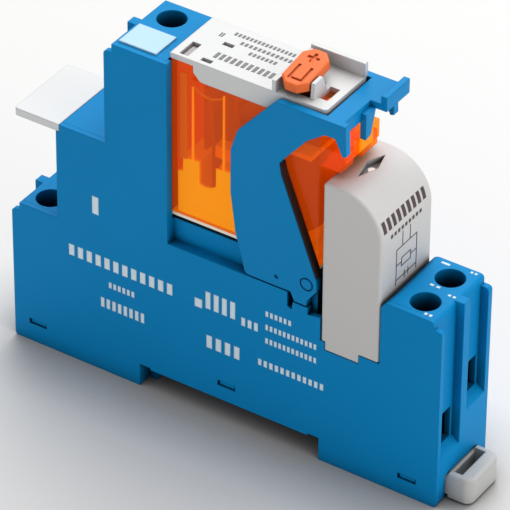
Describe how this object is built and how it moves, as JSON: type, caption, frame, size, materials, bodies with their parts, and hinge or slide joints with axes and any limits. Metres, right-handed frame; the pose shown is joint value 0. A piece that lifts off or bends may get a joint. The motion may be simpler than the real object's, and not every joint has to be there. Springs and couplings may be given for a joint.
{
  "type": "plug-in relay",
  "caption": "Slim plug-in relay standing in a stepped screw-terminal rail socket, with swing-over retaining clip, coil module, marker tag and sliding rail latch.",
  "frame": {"origin": "centre of the face that seats on the mounting rail", "axes": "+X across the rail towards the two-hole coil terminal block and the latch, +Y along the rail away from the removable side cover, +Z away from the rail"},
  "size_m": [0.0907, 0.0158, 0.074],
  "materials": {
    "housing_blue": "moulded, fine grain",
    "cover_orange": "translucent, clear and glossy",
    "cap_white": "smooth",
    "clip_blue": "moulded, fine grain",
    "button_orange": "satin",
    "module_grey": "smooth",
    "tag_white": "smooth",
    "latch_white": "smooth",
    "base_pale": "smooth",
    "screw_steel": "zinc plated",
    "cage_steel": "zinc plated",
    "contact_metal": "bare strip",
    "iron": "soft iron",
    "copper_winding": "enamelled wire",
    "spring_steel": "spring wire",
    "lens_clear": "clear",
    "flag_orange": "satin",
    "board_green": "lacquered"
  },
  "bodies": {
    "socket": {"socket_housing": "housing_blue", "socket_side_cover": "housing_blue", "label_plate": "tag_white", "latch_spring": "spring_steel", "module_fork_1": "contact_metal", "module_fork_2": "contact_metal", "contact_strip_coil_a": "contact_metal", "contact_strip_coil_b": "contact_metal", "contact_strip_common": "contact_metal", "contact_strip_normally_closed": "contact_metal", "contact_strip_normally_open": "contact_metal"},
    "relay": {"relay_base": "base_pale", "relay_cover": "cover_orange", "relay_cap": "cap_white", "light_lens": "lens_clear", "fixed_contact_normally_open": "contact_metal", "fixed_contact_normally_closed": "contact_metal", "common_pin": "contact_metal", "coil_bobbin": "base_pale", "coil_winding": "copper_winding", "coil_core": "iron", "yoke": "iron", "relay_pin_coil_a": "contact_metal", "relay_pin_coil_b": "contact_metal"},
    "armature": {"armature": "iron", "flag_indicator": "flag_orange"},
    "contact_pusher": {"contact_pusher": "base_pale"},
    "moving_contact": {"moving_contact": "contact_metal"},
    "test_button": {"test_button": "button_orange"},
    "retaining_clip": {"retaining_clip": "clip_blue"},
    "coil_module": {"module_housing": "module_grey", "module_lens": "lens_clear", "module_base": "module_grey", "module_board": "board_green", "module_pin_1": "contact_metal", "module_pin_2": "contact_metal"},
    "marker_tag": {"marker_tag": "tag_white"},
    "rail_latch": {"rail_latch": "latch_white"},
    "screw_coil_a": {"terminal_screw_coil_a": "screw_steel"},
    "cage_coil_a": {"clamp_cage_coil_a": "cage_steel"},
    "screw_coil_b": {"terminal_screw_coil_b": "screw_steel"},
    "cage_coil_b": {"clamp_cage_coil_b": "cage_steel"},
    "screw_common": {"terminal_screw_common": "screw_steel"},
    "cage_common": {"clamp_cage_common": "cage_steel"},
    "screw_normally_closed": {"terminal_screw_normally_closed": "screw_steel"},
    "cage_normally_closed": {"clamp_cage_normally_closed": "cage_steel"},
    "screw_normally_open": {"terminal_screw_normally_open": "screw_steel"},
    "cage_normally_open": {"clamp_cage_normally_open": "cage_steel"}
  },
  "joints": [
    {"name": "clip_swing", "type": "hinge", "parent": "socket", "child": "retaining_clip", "pos_m": [0.0149, 0, 0.0307], "axis": [0, 1, 0], "range_deg": [0, 20]},
    {"name": "relay_lift", "type": "slide", "parent": "socket", "child": "relay", "axis": [0, 0, 1], "range_m": [0, 0.0035]},
    {"name": "module_pull", "type": "slide", "parent": "socket", "child": "coil_module", "axis": [0, 0, 1], "range_m": [0, 0.0013]},
    {"name": "latch_pull", "type": "slide", "parent": "socket", "child": "rail_latch", "axis": [1, 0, 0], "range_m": [0, 0.003], "stiffness_N_per_m": 1500, "springref_m": -0.001, "deforming": ["latch_spring"]},
    {"name": "tag_pull", "type": "slide", "parent": "socket", "child": "marker_tag", "axis": [-1, 0, 0], "range_m": [0, 0.0084]},
    {"name": "test_button_press", "type": "slide", "parent": "relay", "child": "test_button", "axis": [0, 0, -1], "range_m": [0, 0.001], "stiffness_N_per_m": 300, "springref_m": -0.0003},
    {"name": "armature_swing", "type": "hinge", "parent": "relay", "child": "armature", "pos_m": [0.0008, 0, 0.0562], "axis": [0, 1, 0], "range_deg": [0, 2.5], "stiffness_Nm_per_rad": 0.01, "springref_deg": -2.86},
    {"name": "pusher_slide", "type": "slide", "parent": "relay", "child": "contact_pusher", "axis": [-1, 0, 0], "range_m": [0, 0.00034]},
    {"name": "contact_flex", "type": "hinge", "parent": "relay", "child": "moving_contact", "pos_m": [-0.0051, 0, 0.0366], "axis": [0, -1, 0], "range_deg": [0, 1.7]},
    {"name": "screw_turn_coil_a", "type": "hinge", "parent": "socket", "child": "screw_coil_a", "pos_m": [0.0357, -0.00385, 0.0184], "axis": [0, 0, -1], "range_deg": [0, 1080]},
    {"name": "cage_rise_coil_a", "type": "slide", "parent": "socket", "child": "cage_coil_a", "axis": [0, 0, 1], "range_m": [0, 0.0015]},
    {"name": "screw_turn_coil_b", "type": "hinge", "parent": "socket", "child": "screw_coil_b", "pos_m": [0.0357, 0.00385, 0.0242], "axis": [0, 0, -1], "range_deg": [0, 1080]},
    {"name": "cage_rise_coil_b", "type": "slide", "parent": "socket", "child": "cage_coil_b", "axis": [0, 0, 1], "range_m": [0, 0.0015]},
    {"name": "screw_turn_common", "type": "hinge", "parent": "socket", "child": "screw_common", "pos_m": [-0.0392, -0.00385, 0.0148], "axis": [0, 0, -1], "range_deg": [0, 1080]},
    {"name": "cage_rise_common", "type": "slide", "parent": "socket", "child": "cage_common", "axis": [0, 0, 1], "range_m": [0, 0.0015]},
    {"name": "screw_turn_normally_closed", "type": "hinge", "parent": "socket", "child": "screw_normally_closed", "pos_m": [-0.0392, 0.00385, 0.018], "axis": [0, 0, -1], "range_deg": [0, 1080]},
    {"name": "cage_rise_normally_closed", "type": "slide", "parent": "socket", "child": "cage_normally_closed", "axis": [0, 0, 1], "range_m": [0, 0.0015]},
    {"name": "screw_turn_normally_open", "type": "hinge", "parent": "socket", "child": "screw_normally_open", "pos_m": [-0.0192, 0.00385, 0.0582], "axis": [0, 0, -1], "range_deg": [0, 1080]},
    {"name": "cage_rise_normally_open", "type": "slide", "parent": "socket", "child": "cage_normally_open", "axis": [0, 0, 1], "range_m": [0, 0.0015]}
  ],
  "couplings": [
    {"joint": "clip_swing", "follows": "relay_lift", "rad_per_m": 99.7},
    {"joint": "armature_swing", "follows": "pusher_slide", "rad_per_m": 128.2},
    {"joint": "contact_flex", "follows": "pusher_slide", "rad_per_m": 84.6},
    {"joint": "screw_turn_coil_a", "follows": "cage_rise_coil_a", "rad_per_m": 12566},
    {"joint": "screw_turn_coil_b", "follows": "cage_rise_coil_b", "rad_per_m": 12566},
    {"joint": "screw_turn_common", "follows": "cage_rise_common", "rad_per_m": 12566},
    {"joint": "screw_turn_normally_closed", "follows": "cage_rise_normally_closed", "rad_per_m": 12566},
    {"joint": "screw_turn_normally_open", "follows": "cage_rise_normally_open", "rad_per_m": 12566}
  ]
}
